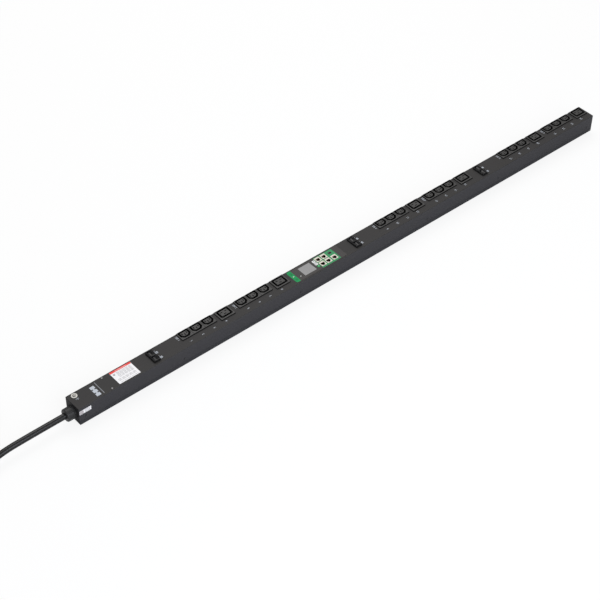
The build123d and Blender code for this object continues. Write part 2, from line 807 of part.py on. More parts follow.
def floor_wires():
    """Wires along the floor: from the terminal block to each pair of breakers, and on to the banks."""
    made = []
    start = along(block_start + block_size[0])
    top = wire_floor + wire_rise
    for index, pair in enumerate(bank_pair_starts):
        y = feed_y + feed_step * index
        x = along(pair - breaker_offset) - breaker_x / 2 - feed_gap
        made.append(wire([(start, y, wire_floor), (x, y, wire_floor), (x, y, top)]))
    for index, first in enumerate(bank_starts()):
        y = bank_wire_y[index % 2]
        x = first - bank_wire_rise
        x_low = x - bank_wire_run[index % 2]
        made.append(wire([(x_low, y, top), (x_low, y, wire_floor), (x, y, wire_floor), (x, y, top)]))
    return made


def earth_wire():
    """Earth wire from the terminal block along the floor to the last bank."""
    start = along(block_start + block_size[0])
    end = bank_starts()[-1]
    y = earth_wire_y
    return wire([(start, y, wire_floor), (end, y, wire_floor), (end, y, wire_floor + wire_rise)])


def wire_clips():
    """Bridges on the tray's floor that the wires lie on."""
    low = back + sheet
    pitch = (clip_last - clip_first) / (clip_count - 1)
    return [block(clip_size, (along(clip_first + pitch * index), 0), low) for index in range(clip_count)]


# ----- Cord gland -----
cord_diameter = 16.5
gland_flange_radius = 19.0
gland_flange = 4.5
gland_cap_radius = 17.2
gland_cap_length = 19.0
gland_reach = 10.0  # thread inside the case
gland_axis = back + gland_height
gland_turned = 0.8  # the flange's corners are turned off by this
spigot = (14.0, 6.0)  # radius and length, inside the cap
spigot_end_gap = 0.5
gland_cap_round = 3.0
facets = 10
facet = (13.0, 4.6, 3.6)  # grip hollow round the cap: length, width, height of its cutter
facet_start = 6.0
facet_lift = 1.2
nut_size = (17.5, 4.0)


def cord_passage():
    """What the cord needs cut out of the gland, from end to end."""
    start = cord_end - gland_flange - gland_cap_length - overshoot
    size = gland_flange + gland_cap_length + gland_reach + 2 * overshoot
    return lying(cord_diameter / 2 + clearance, size, (start, 0, gland_axis))


def gland_body():
    """Six-sided flange outside the end plate, threaded barrel through it."""
    flange = Pos(cord_end - gland_flange, 0, gland_axis) * Rot(0, 90, 0) * extrude(
        RegularPolygon(gland_flange_radius, 6), gland_flange
    )
    start = cord_end - gland_flange
    flange &= lying(gland_flange_radius - gland_turned, gland_flange, (start, 0, gland_axis))
    barrel = lying(gland_thread_radius, gland_reach, (cord_end, 0, gland_axis))
    spigot_radius, spigot_length = spigot
    front = lying(spigot_radius, spigot_length, (start - spigot_length, 0, gland_axis))
    return flange + barrel + front - cord_passage()


def gland_cap():
    """Clamping cap with grip facets and a clamp screw, round the cord."""
    start = cord_end - gland_flange - gland_cap_length
    body = lying(gland_cap_radius, gland_cap_length - seat_gap, (start, 0, gland_axis))
    body = fillet(body.edges().group_by(Axis.X)[0], gland_cap_round)
    body -= cord_passage()
    spigot_radius, spigot_length = spigot
    room = spigot_length + spigot_end_gap
    body -= lying(spigot_radius + seat_gap, room + overshoot, (cord_end - gland_flange - room, 0, gland_axis))
    facet_x = start + facet_start + facet[0] / 2
    for index in range(facets):
        turn = Pos(0, 0, gland_axis) * Rot(360 / facets * index, 0, 0)
        body -= turn * Pos(facet_x, 0, gland_cap_radius + facet_lift) * Box(*facet)
    return body


def gland_nut():
    """Lock nut on the barrel, inside the end plate."""
    start = cord_end + end_plate_sheet
    radius, thickness = nut_size
    nut = Pos(start, 0, gland_axis) * Rot(0, 90, 0) * extrude(RegularPolygon(radius, 6), thickness)
    size = thickness + 2 * overshoot
    return nut - lying(gland_thread_radius + thread_gap, size, (start - overshoot, 0, gland_axis))


# ----- Cord, coil and plug -----
coil_middle_radius = 92.0  # middle of the turns
tie_thickness = 0.8
coil_lift = tie_thickness
tie_inside = 2 * cord_diameter
tie_width = 16.0
tie_angles = (0.0, 130.0, 220.0)
coil_round_gap = 0.5  # the ring's corners are rounded a little less than the cord
coil_entry = 14.0  # the tubes run this far short of the ring's middle
coil_x = cord_end - 365.0
coil_y = 80.5
outer_turn = coil_middle_radius + cord_diameter / 2
inner_turn = coil_middle_radius - cord_diameter / 2
low_layer = coil_lift + cord_diameter / 2
high_layer = low_layer + cord_diameter

plug_radius = 28.0
plug_heading = -20.0  # degrees from +X, seen from above

cord_grip = 8.0  # the cord starts this far inside the cap
exit_point = (cord_end - gland_flange - gland_cap_length + cord_grip, 0, gland_axis)
route_out = [
    exit_point,
    (cord_end - 112, 0.0, gland_axis + 0.3),
    (cord_end - 214, -0.8, gland_axis - 1.2),
    (cord_end - 282, -13.5, low_layer + 8.5),
    (cord_end - 318, coil_y - outer_turn, low_layer),
    (coil_x + coil_entry, coil_y - outer_turn - 0.2, low_layer),
]
route_tail = [
    (coil_x + coil_entry, coil_y + outer_turn, high_layer),
    (coil_x + 54, coil_y + outer_turn - 1.0, high_layer + 1.6),
    (coil_x + 92, coil_y + outer_turn - 14.9, plug_radius),
]


def run_length(start, end):
    """Distance between two points."""
    return sum((b - a) ** 2 for a, b in zip(start, end)) ** 0.5


def corner_radii(points):
    """At each corner of a route: 0.45 of the shorter run over the tangent of half the turn."""
    radii = []
    for before, here, after in zip(points, points[1:], points[2:]):
        first = Vector(*here) - Vector(*before)
        second = Vector(*after) - Vector(*here)
        turn = radians(first.get_angle(second))
        radii.append(0.45 * min(first.length, second.length) / tan(turn / 2))
    return radii


def rounded_path(points):
    """Straight runs joined by tangent arcs, each as large as its two runs allow."""
    radii = corner_radii(points)
    print("cord corner radii", [round(radius) for radius in radii])
    edges = []
    start = Vector(*points[0])
    for (before, here, after), radius in zip(zip(points, points[1:], points[2:]), radii):
        into = (Vector(*here) - Vector(*before)).normalized()
        out = (Vector(*after) - Vector(*here)).normalized()
        turn = radians(into.get_angle(out))
        reach = radius * tan(turn / 2)
        arc_start = Vector(*here) - into * reach
        arc_end = Vector(*here) + out * reach
        edges.append(Line(start, arc_start))
        edges.append(TangentArc(arc_start, arc_end, tangent=into))
        start = arc_end
    edges.append(Line(start, Vector(*points[-1])))
    return Wire(edges)


def cord_tube(points):
    """Round cord along a route, with its volume checked against section times length."""
    path = rounded_path(points)
    tube = sweep(Plane(path @ 0, z_dir=path % 0) * Circle(cord_diameter / 2), path=path)
    expected = pi * cord_diameter**2 / 4 * path.length
    print("cord length", round(path.length, 1), "volume ratio", round(tube.volume / expected, 4))
    return tube


def cord_coil():
    """The coiled stretch as one closed ring: two turns wide and two high."""
    side = 2 * cord_diameter
    outline = RectangleRounded(side, side, cord_diameter / 2 - coil_round_gap)
    section = Pos(coil_middle_radius, coil_lift + cord_diameter) * outline
    ring = revolve(Plane.XZ * section, Axis.Z)
    return Pos(coil_x, coil_y, 0) * ring


def cord_ties():
    """Three straps round the coil's section."""
    band = Rectangle(tie_inside + 2 * tie_thickness, tie_inside + 2 * tie_thickness)
    band -= Rectangle(tie_inside, tie_inside)
    section = Plane.XZ * (Pos(coil_middle_radius, coil_lift + cord_diameter) * band)
    sweep_angle = degrees(tie_width / coil_middle_radius)
    loop = revolve(section, Axis.Z, sweep_angle)
    return [Pos(coil_x, coil_y, 0) * Rot(0, 0, angle) * loop for angle in tie_angles]


relief_length = 42.0
relief_back = 8.0  # the relief starts this far behind the cord's end
relief_start_radius = cord_diameter / 2 + 2.2
relief_end_radius = 15.0
plug_rear_radius = 22.0
plug_length = 76.0
plug_swell = 1.5  # of the rear half, from its end to the waist
grip = (36.0, 58.0)  # ribbed stretch, from the relief
rib_count = 16
rib_groove = (18.0, 2.4, 4.0)  # length, width, depth
blade_circle = 15.5
blade_length = 20.0
blade_thickness = 2.0
blade_sweeps = (44.0, 44.0, 44.0, 60.0)  # degrees of the circle that each blade takes


def at_plug(shape):
    """Carry a shape built along +X from the origin to the plug's place."""
    return Pos(*route_tail[-1]) * Rot(0, 0, plug_heading) * shape


def plug_body():
    """Plug housing: tapered strain relief, waist, ribbed grip and front rim, turned about its axis."""
    half = cord_diameter / 2 + clearance
    points = [
        (-relief_back, half),
        (-relief_back, relief_start_radius),
        (relief_length - 8, relief_end_radius),
        (relief_length - 4, plug_rear_radius),
        (relief_length + grip[0] - 10, plug_rear_radius + plug_swell),
        (relief_length + grip[0], plug_radius - 3.0),
        (relief_length + grip[1], plug_radius - 2.0),
        (relief_length + grip[1] + 2, plug_radius),
        (relief_length + plug_length, plug_radius),
        (relief_length + plug_length, 0),
        (relief_length, 0),
        (relief_length, half),
    ]
    body = revolve(make_face(Polyline(*points, close=True)), Axis.X)
    groove_length, groove_width, groove_depth = rib_groove
    groove_x = relief_length + sum(grip) / 2 + 1.0
    for index in range(rib_count):
        turn = Rot(360 / rib_count * index, 0, 0)
        cutter = Box(groove_length, groove_width, 2 * groove_depth)
        body -= turn * Pos(groove_x, 0, plug_radius) * cutter
    return at_plug(body)


def plug_blades():
    """Four curved locking blades on one circle."""
    made = []
    reach = 2 * plug_radius
    for index, sweep_angle in enumerate(blade_sweeps):
        ring = Circle(blade_circle + blade_thickness / 2) - Circle(blade_circle - blade_thickness / 2)
        side = reach * sin(radians(sweep_angle / 2))
        forward = reach * cos(radians(sweep_angle / 2))
        ring &= Polygon((0, 0), (forward, side), (forward, -side), align=None)
        blade = extrude(ring, blade_length)
        turned = Rot(0, 90, 0) * Rot(0, 0, 90 * index) * blade
        made.append(at_plug(Pos(relief_length + plug_length, 0, 0) * turned))
    return made


# ----- Build every node -----
save("front_channel", *front_channel())
save("rear_tray", *rear_tray())
save("cord_end_plate", end_plate(-1))
save("far_end_plate", end_plate(1))
save("side_screws", *side_screws())
save("face_screws", *face_screws())
save("ground_screw", ground_screw())
save("mounting_pegs", *mounting_pegs())
save("information_labels", *information_labels())

small_sets = []
large_sets = []
for number, first in enumerate(bank_starts(), 1):
    large_place = first + outlet_pitch * (outlets_per_module - 1) + large_outlet_offset
    save(f"small_outlets_{number}", small_module(first))
    save(f"large_outlet_{number}", large_module(large_place))
    small_sets += small_contacts(first)
    large_sets += large_contacts(large_place)
save("small_outlet_contacts", *small_sets)
save("large_outlet_contacts", *large_sets)
lines = [bus_bar(first, line_bar_y, low_bar_drop) for first in bank_starts()]
neutrals = [bus_bar(first, neutral_bar_y, bar_drop) for first in bank_starts()]
earths = [bus_bar(first, earth_bar_y, bar_drop) for first in bank_starts()]
save("bus_bars", *lines, *neutrals, *earths)

for number, place in enumerate(breaker_places(), 1):
    save(f"breaker_{number}", breaker(place))
    save(f"breaker_rocker_{number}", rocker(place))

save("control_overlay", overlay())
save("port_label", port_label())
save("display_window", window())
save("display_panel", display())
save("status_light", status_light())
save("control_board", board())
save("service_port", service_port())
for name, y in button_places.items():
    save(name, button(name, y))
for row, (y, places) in jack_rows.items():
    save(f"{row}s", *[jack(x, y) for x in places])

save("terminal_block", terminal_block())
save("wires", *floor_wires(), earth_wire())
save("wire_clips", *wire_clips())

save("gland_body", gland_body())
save("gland_cap", gland_cap())
save("gland_nut", gland_nut())
save("power_cord", cord_tube(route_out), cord_tube(route_tail))
save("cord_coil", cord_coil())
save("cord_ties", *cord_ties())
save("plug_body", plug_body())
save("plug_blades", *plug_blades())
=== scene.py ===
from math import cos, pi, radians, sin, tau

import bpy
import numpy as np
from mathutils import Matrix, Vector


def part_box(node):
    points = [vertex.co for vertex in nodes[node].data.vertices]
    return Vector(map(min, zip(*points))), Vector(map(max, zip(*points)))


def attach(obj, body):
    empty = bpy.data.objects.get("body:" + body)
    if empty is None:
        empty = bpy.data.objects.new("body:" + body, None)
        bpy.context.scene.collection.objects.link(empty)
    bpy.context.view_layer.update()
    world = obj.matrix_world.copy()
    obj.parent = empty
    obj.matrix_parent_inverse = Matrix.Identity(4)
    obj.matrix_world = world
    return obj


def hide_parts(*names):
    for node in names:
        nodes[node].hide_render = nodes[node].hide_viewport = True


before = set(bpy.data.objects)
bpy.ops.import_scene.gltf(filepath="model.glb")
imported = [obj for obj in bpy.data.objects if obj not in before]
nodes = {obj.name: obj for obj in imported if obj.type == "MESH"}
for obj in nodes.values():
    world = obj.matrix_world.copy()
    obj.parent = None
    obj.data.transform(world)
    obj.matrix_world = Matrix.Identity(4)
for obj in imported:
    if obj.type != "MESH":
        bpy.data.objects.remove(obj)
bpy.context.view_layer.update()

# ---- Camera ----
# A long lens looks down along the strip from beyond its cord end.
view_from = Vector((-2.1864, -2.2952, 2.8369))
view_along = Vector((0.47641, 0.54883, -0.68689))
view_roll = 0.75  # degrees
camera_data = bpy.data.cameras.new("camera")
camera_data.sensor_width = 36.0
camera_data.lens = 94.33
camera_data.clip_start = 0.1
camera_data.clip_end = 50.0
camera = bpy.data.objects.new("camera", camera_data)
aim = view_along.to_track_quat("-Z", "Y").to_matrix().to_4x4()
rolled = Matrix.Rotation(radians(view_roll), 4, "Z")
camera.matrix_world = Matrix.Translation(view_from) @ aim @ rolled
bpy.context.scene.collection.objects.link(camera)
bpy.context.scene.camera = camera


# ---- Supply cord ----
# Three-core mains cord in a smooth black vinyl jacket, clamped in the gland. It runs straight off
# the end of the case, drops to the floor and is wound into a coil of three and a half turns.
cord_diameter = 0.0165
coil_middle = np.array([-1.2795, 0.0805])
coil_lift = 0.0008
outer_turn = 0.10025
inner_turn = 0.08375
low_layer = coil_lift + cord_diameter / 2
high_layer = low_layer + cord_diameter
coil_turns = 3.5
steps_per_turn = 16
cord_exit = (-0.930, 0.0, 0.0312)
route_out = [
    cord_exit,
    (-1.0265, 0.0, 0.0315),
    (-1.1285, -0.0008, 0.0300),
    (-1.1965, -0.0135, 0.01755),
    (-1.2325, -0.01975, low_layer),
    (-1.2655, -0.01995, low_layer),
]
route_tail = [
    (-1.2655, 0.18075, high_layer),
    (-1.2255, 0.17975, 0.02715),
    (-1.1875, 0.16585, 0.0280),
    (-1.1630, 0.15695, 0.0280),
]


def eased(turns, start, end):
    """0 before start and 1 after end, with 3x^2 - 2x^3 between them."""
    x = np.clip((turns - start) / (end - start), 0, 1)
    return x * x * (3 - 2 * x)


def coil_points():
    """Control points of the turns: out, in, up a layer and out again as the cord is wound. Points
    stand outside the turn by 1 / cos(half a step), so that the spline has the turn's radius."""
    turns = (np.arange(int(coil_turns * steps_per_turn)) + 0.5) / steps_per_turn
    inwards = eased(turns, 0.80, 1.0) - eased(turns, 2.53, 2.66)
    radius = (outer_turn + (inner_turn - outer_turn) * inwards) / cos(pi / steps_per_turn)
    height = low_layer + (high_layer - low_layer) * eased(turns, 1.64, 1.79)
    angle = -pi / 2 - tau * turns
    x = coil_middle[0] + radius * np.cos(angle)
    y = coil_middle[1] + radius * np.sin(angle)
    return np.column_stack([x, y, height])


cord_points = np.vstack([route_out, coil_points(), route_tail])
cord_curve = bpy.data.curves.new("supply_cord", "CURVE")
cord_curve.dimensions = "3D"
cord_spline = cord_curve.splines.new("NURBS")
cord_spline.points.add(len(cord_points) - 1)
weighted_points = np.column_stack([cord_points, np.ones(len(cord_points))])
cord_spline.points.foreach_set("co", weighted_points.ravel())
cord_spline.order_u = 3
cord_spline.use_endpoint_u = True
cord_spline.resolution_u = 10
cord_curve.bevel_depth = cord_diameter / 2
cord_curve.bevel_resolution = 5
cord_curve.use_fill_caps = True
supply_cord = bpy.data.objects.new("supply_cord", cord_curve)
bpy.context.scene.collection.objects.link(supply_cord)


class Tone:
    """One output of a material's node tree. Arithmetic on tones adds Math nodes."""

    def __init__(self, finish, socket):
        self.finish = finish
        self.socket = socket

    def math(self, operation, first, second=0.0):
        return self.finish.node("ShaderNodeMath", {"operation": operation}, {0: first, 1: second})

    def __add__(self, other):
        return self.math("ADD", self, other)

    def __radd__(self, other):
        return self.math("ADD", other, self)

    def __sub__(self, other):
        return self.math("SUBTRACT", self, other)

    def __rsub__(self, other):
        return self.math("SUBTRACT", other, self)

    def __mul__(self, other):
        return self.math("MULTIPLY", self, other)

    def __rmul__(self, other):
        return self.math("MULTIPLY", other, self)

    def __gt__(self, other):
        return self.math("GREATER_THAN", self, other)

    def __lt__(self, other):
        return self.math("LESS_THAN", self, other)


class Finish:
    """A material that is being put together: one Principled shader and what feeds it."""

    def __init__(self, name):
        self.material = bpy.data.materials.new(name)
        self.material.use_nodes = True
        self.tree = self.material.node_tree
        self.shader = self.tree.nodes["Principled BSDF"]
        self.place = self.node("ShaderNodeTexCoord", {}, {}, "Object")

    def node(self, kind, settings, values, output=0):
        """Add a node: its settings first, then the values or links of its sockets."""
        made = self.tree.nodes.new(kind)
        for name, value in settings.items():
            setattr(made, name, value)
        for name, value in values.items():
            self.feed(made.inputs[name], value)
        return Tone(self, made.outputs[output])

    def feed(self, socket, value):
        if isinstance(value, Tone):
            self.tree.links.new(value.socket, socket)
        else:
            socket.default_value = value

    def shade(self, values):
        """Set or link the shader's own sockets."""
        for name, value in values.items():
            self.feed(self.shader.inputs[name], value)
        return self.material

    def noise(self, size, detail=2.0, place=None):
        """Noise whose grains are about size metres across, 0 to 1."""
        vector = self.place if place is None else place
        values = {"Vector": vector, "Scale": 1.0 / size, "Detail": detail}
        return self.node("ShaderNodeTexNoise", {}, values, 0)

    def mix(self, amount, low, high):
        """Colour between low and high."""
        values = {"Factor": amount, 6: low, 7: high}
        return self.node("ShaderNodeMix", {"data_type": "RGBA"}, values, 2)

    def bump(self, height, depth, strength=1.0):
        """Surface relief of a height tone, depth metres deep."""
        values = {"Height": height, "Distance": depth, "Strength": strength}
        return self.node("ShaderNodeBump", {}, values)


def colour(red, green, blue):
    """Screen colour 0 to 255 as the linear colour that a shader takes."""
    screen = np.array([red, green, blue]) / 255
    linear = np.where(screen <= 0.04045, screen / 12.92, ((screen + 0.055) / 1.055) ** 2.4)
    return (*linear.tolist(), 1.0)


def dress(material, *names):
    """Give CAD nodes a material in their own slots."""
    for name in names:
        slots = nodes[name].material_slots
        if not slots:
            nodes[name].data.materials.append(material)
        for slot in slots:
            slot.material = material


def jacket_material():
    """Black vinyl: faint long mottling, a soft sheen and fine extrusion grain."""
    vinyl = Finish("cord_vinyl")
    mottle = vinyl.noise(0.03)
    grain = vinyl.noise(0.0009)
    return vinyl.shade({
        "Base Color": vinyl.mix(mottle, colour(6, 6, 7), colour(10, 10, 11)),
        "Roughness": 0.26 + 0.10 * vinyl.noise(0.004),
        "Normal": vinyl.bump(grain, 0.00004, 0.3),
        "Specular IOR Level": 0.35,
    })


cord_vinyl = jacket_material()
supply_cord.data.materials.append(cord_vinyl)
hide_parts("power_cord", "cord_coil")
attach(supply_cord, "case")

# ---- Coil straps ----
# Three woven hook-and-loop straps hold the coil. Each is a flat band round the bundle with its
# free end lapped over the outer side.
strap_angles = (5.0, 135.0, 225.0)
strap_width = 0.0155
strap_thickness = 0.00075
strap_lap = 1.22  # turns of strap round the bundle
bundle_half = cord_diameter
bundle_ring = 0.092  # radius of the coil's middle line
strap_lowest = 0.00005


def piece(name, vertices, faces, material, body="case", smooth=False):
    """Put worked-out vertices and faces into a new object at the origin, on one body."""
    mesh = bpy.data.meshes.new(name)
    mesh.from_pydata(np.asarray(vertices).tolist(), [], [list(f) for f in faces])
    mesh.materials.append(material)
    mesh.polygons.foreach_set("use_smooth", np.full(len(mesh.polygons), smooth))
    mesh.update()
    made = bpy.data.objects.new(name, mesh)
    bpy.context.scene.collection.objects.link(made)
    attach(made, body)
    return made


def grid_faces(rows, columns, close_rows=False, close_columns=False):
    """Quads of a grid of points, row by row, closed round either way where asked."""
    row_count = rows if close_rows else rows - 1
    column_count = columns if close_columns else columns - 1
    r, c = np.meshgrid(np.arange(row_count), np.arange(column_count), indexing="ij")
    r2 = (r + 1) % rows
    c2 = (c + 1) % columns
    this_row, next_row = r * columns, r2 * columns
    return np.stack([this_row + c, this_row + c2, next_row + c2, next_row + c], -1).reshape(-1, 4)


def strap_surface(angle):
    """Closed band round the bundle: the rounded square |x|^5 + |y|^5 = 1 of half size bundle_half,
    lapped over itself by a fifth of a turn and given thickness and width."""
    around = np.linspace(0, tau * strap_lap, 120)
    power = 5.0
    square = (np.abs(np.cos(around)) ** power + np.abs(np.sin(around)) ** power) ** (-1 / power)
    lap = strap_thickness * np.clip(around / tau, 0, None)
    reach = np.minimum(square, 1.22) * (bundle_half + 0.0002) + lap
    corners = np.array([[0, -1], [0, 1], [1, 1], [1, -1]])  # thickness and width of the section
    radial = (reach[:, None] + corners[:, 0] * strap_thickness) * np.cos(around)[:, None]
    upward = (reach[:, None] + corners[:, 0] * strap_thickness) * np.sin(around)[:, None]
    middle = bundle_ring + radial
    turn = radians(angle)
    sideways = corners[:, 1] * strap_width / 2 * np.ones_like(radial)
    x = coil_middle[0] + middle * cos(turn) - sideways * sin(turn)
    y = coil_middle[1] + middle * sin(turn) + sideways * cos(turn)
    z = np.maximum(coil_lift + cord_diameter + upward, strap_lowest)
    grid = np.stack([x, y, z], -1)
    rows = len(around)
    faces = grid_faces(rows, 4, close_columns=True).tolist()
    faces.append([3, 2, 1, 0])
    faces.append([4 * rows - 4, 4 * rows - 3, 4 * rows - 2, 4 * rows - 1])
    return grid.reshape(-1, 3), faces


def strap_material():
    """Woven nylon loop fabric: two crossed fine waves for the weave and a fuzzy noise."""
    nylon = Finish("strap_nylon")
    threads = {"Vector": nylon.place, "Scale": 420.0}
    weave = nylon.node("ShaderNodeTexWave", {"bands_direction": "Z"}, threads)
    cross = nylon.node("ShaderNodeTexWave", {"bands_direction": "X"}, threads)
    fuzz = nylon.noise(0.0012)
    relief = weave * 0.4 + cross * 0.4 + fuzz * 0.6
    return nylon.shade({
        "Base Color": nylon.mix(fuzz, colour(24, 24, 25), colour(44, 44, 46)),
        "Roughness": 0.9,
        "Normal": nylon.bump(relief, 0.0002, 0.7),
    })


strap_nylon = strap_material()
for number, angle in enumerate(strap_angles, 1):
    strap = piece(f"coil_strap_{number}", *strap_surface(angle), strap_nylon)
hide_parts("cord_ties")

# ---- Plug ----
# Locking supply plug: moulded nylon shell with a ribbed grip and a tapered relief, brass blades.


def moulded_material(
    name, low, high, roughness, grain_size=0.0006, grain_depth=0.00004, gloss=0.25
):
    """Moulded plastic: faint flow mottling, spark-eroded grain, slightly uneven gloss."""
    plastic = Finish(name)
    mottle = plastic.noise(0.02)
    grain = plastic.noise(grain_size)
    return plastic.shade({
        "Base Color": plastic.mix(mottle, low, high),
        "Roughness": roughness - 0.05 + 0.1 * plastic.noise(0.006),
        "Specular IOR Level": gloss,
        "Normal": plastic.bump(grain, grain_depth, 0.6),
    })


def brass_material():
    """Rolled brass strip: fine drawn lines along its length and dull patches."""
    brass = Finish("rolled_brass")
    drawn = {"Vector": brass.place, "Scale": (60.0, 1500.0, 1500.0)}
    stretched = brass.node("ShaderNodeMapping", {}, drawn)
    lines = brass.node("ShaderNodeTexNoise", {}, {"Vector": stretched, "Scale": 1.0, "Detail": 2.0})
    dull = brass.noise(0.006)
    return brass.shade({
        "Base Color": brass.mix(dull, colour(205, 172, 100), colour(176, 140, 78)),
        "Metallic": 1.0,
        "Roughness": 0.24 + 0.2 * dull,
        "Normal": brass.bump(lines, 0.00002, 0.5),
    })


rolled_brass = brass_material()
plug_nylon = moulded_material("plug_nylon", colour(26, 26, 28), colour(34, 34, 36), 0.5)
dress(plug_nylon, "plug_body")
dress(rolled_brass, "plug_blades", "small_outlet_contacts", "large_outlet_contacts", "bus_bars")

# ---- Cord gland ----
# Die-cast clamp gland: a six-sided body screwed through the end plate and a fluted clamping cap,
# both dark satin, with two small plated clamp screws in the cap's side.
gland_low, gland_high = (Vector(corner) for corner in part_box("gland_cap"))
gland_axis = (gland_low + gland_high) / 2


def cast_material():
    """Dark painted casting: low orange peel, worn a little brighter on its high spots."""
    cast = Finish("gland_casting")
    peel = cast.noise(0.0015)
    wear = cast.noise(0.005, 4.0) > 0.62
    return cast.shade({
        "Base Color": cast.mix(wear * 0.5, colour(40, 40, 40), colour(60, 60, 59)),
        "Specular IOR Level": 0.25,
        "Roughness": 0.36 + 0.12 * peel,
        "Normal": cast.bump(peel, 0.00015, 0.5),
    })


def turned(profile, around, axis_place, facing):
    """Surface of revolution: a profile of (reach, radius) carried round an axis through
    axis_place along facing."""
    reach, radius = np.array(profile).T
    angle = np.arange(around) * tau / around
    forward = np.array(facing, float)
    forward /= np.linalg.norm(forward)
    upright = abs(forward[2]) >= 0.9
    side = np.array([1.0, 0.0, 0.0]) if upright else np.cross(forward, [0.0, 0.0, 1.0])
    side /= np.linalg.norm(side)
    upward = np.cross(forward, side)
    ring = np.cos(angle)[:, None] * side + np.sin(angle)[:, None] * upward
    grid = np.array(axis_place) + reach[:, None, None] * forward + radius[:, None, None] * ring
    faces = grid_faces(len(profile), around, close_columns=True)[:, ::-1].tolist()
    faces.append(list(range(around)))
    faces.append(list(range(len(profile) * around - 1, (len(profile) - 1) * around - 1, -1)))
    return grid.reshape(-1, 3), faces


gland_casting = cast_material()
dress(gland_casting, "gland_body", "gland_cap")


def zinc_material():
    """Bright zinc plate on steel: cool grey, finely pitted, with faint cloudy passivation."""
    zinc = Finish("zinc_plate")
    cloud = zinc.noise(0.004)
    pits = zinc.noise(0.0004)
    return zinc.shade({
        "Base Color": zinc.mix(cloud, colour(178, 178, 176), colour(150, 151, 152)),
        "Metallic": 0.85,
        "Roughness": 0.30 + 0.14 * cloud,
        "Normal": zinc.bump(pits, 0.00002, 0.6),
    })


zinc_plate = zinc_material()
clamp_screw_profile = [
    (-0.0030, 0.0016),
    (0.0000, 0.0026),
    (0.0012, 0.0026),
    (0.0017, 0.0021),
    (0.0017, 0.0011),
    (0.0009, 0.0009),
]
clamp_screw_seat = 0.0163  # from the gland's axis
for number, turn in enumerate((205.0, 335.0), 1):
    facing = (0.0, cos(radians(turn)), sin(radians(turn)))
    axis_place = Vector((gland_axis.x - 0.002, gland_axis.y, gland_axis.z))
    foot = axis_place + Vector(facing) * clamp_screw_seat
    screw = turned(clamp_screw_profile, 20, foot, facing)
    piece(f"gland_clamp_screw_{number}", *screw, zinc_plate)

# ---- Floor and light ----
# A white floor that keeps a soft shadow, and soft lamps all round.
floor_size = 14.0
floor_mesh = bpy.data.meshes.new("floor")
floor_drop = 0.0002
floor_signs = ((-1, -1), (1, -1), (1, 1), (-1, 1))
floor_corners = [(x * floor_size, y * floor_size, -floor_drop) for x, y in floor_signs]
floor_mesh.from_pydata(floor_corners, [], [(0, 1, 2, 3)])
floor = bpy.data.objects.new("floor", floor_mesh)
bpy.context.scene.collection.objects.link(floor)
paper = Finish("white_paper")
paper.shade({"Base Color": (0.84, 0.84, 0.84, 1.0), "Roughness": 0.9, "Specular IOR Level": 0.1})
glow = paper.node("ShaderNodeEmission", {}, {"Color": (1.0, 1.0, 1.0, 1.0), "Strength": 1.0})
seen = paper.node("ShaderNodeLightPath", {}, {}, "Is Camera Ray")
lit = Tone(paper, paper.shader.outputs[0])
blended = paper.node("ShaderNodeMixShader", {}, {0: seen * 0.85, 1: lit, 2: glow})
output = paper.tree.nodes["Material Output"]
paper.tree.links.new(blended.socket, output.inputs["Surface"])
floor_mesh.materials.append(paper.material)

world = bpy.data.worlds.new("studio")
world.use_nodes = True
bpy.context.scene.world = world
world_tree = world.node_tree
background = world_tree.nodes["Background"]
background.inputs["Color"].default_value = (1.0, 1.0, 1.0, 1.0)
path_kind = world_tree.nodes.new("ShaderNodeLightPath")
level = world_tree.nodes.new("ShaderNodeMapRange")
level.inputs["To Min"].default_value = 0.55
level.inputs["To Max"].default_value = 1.0
world_tree.links.new(path_kind.outputs["Is Camera Ray"], level.inputs["Value"])
world_tree.links.new(level.outputs["Result"], background.inputs["Strength"])


def soft_lamp(name, place, target, size, power, tint):
    """Square softbox that faces a target."""
    data = bpy.data.lights.new(name, "AREA")
    data.size = size
    data.energy = power
    data.color = tint
    lamp = bpy.data.objects.new(name, data)
    direction = Vector(target) - Vector(place)
    facing = direction.to_track_quat("-Z", "Y").to_matrix().to_4x4()
    lamp.matrix_world = Matrix.Translation(place) @ facing
    bpy.context.scene.collection.objects.link(lamp)


soft_lamp("key", (0.8, 1.6, 3.2), (0, 0, 0), 2.4, 62, (1.0, 0.985, 0.965))
soft_lamp("side", (-0.9, -3.0, 1.9), (0, 0, 0), 2.4, 88, (0.88, 0.92, 1.0))
soft_lamp("end", (-3.2, -0.4, 1.6), (-0.5, 0, 0), 1.6, 2, (1.0, 1.0, 1.0))

bpy.context.scene.view_settings.view_transform = "Standard"

# ---- Case ----
# Front channel and rear tray of 1.2 mm steel, bent, with two end plates. All are powder coated
# near-black with a fine texture; the tray comes out a shade darker than the channel, and the end
# plates take a darker copy of the coat as painted shade on the end faces.
case_low, case_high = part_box("front_channel")
face_height = case_high[2]
cord_end = case_low[0]
half_width = case_high[1]
peel_size = 0.0007


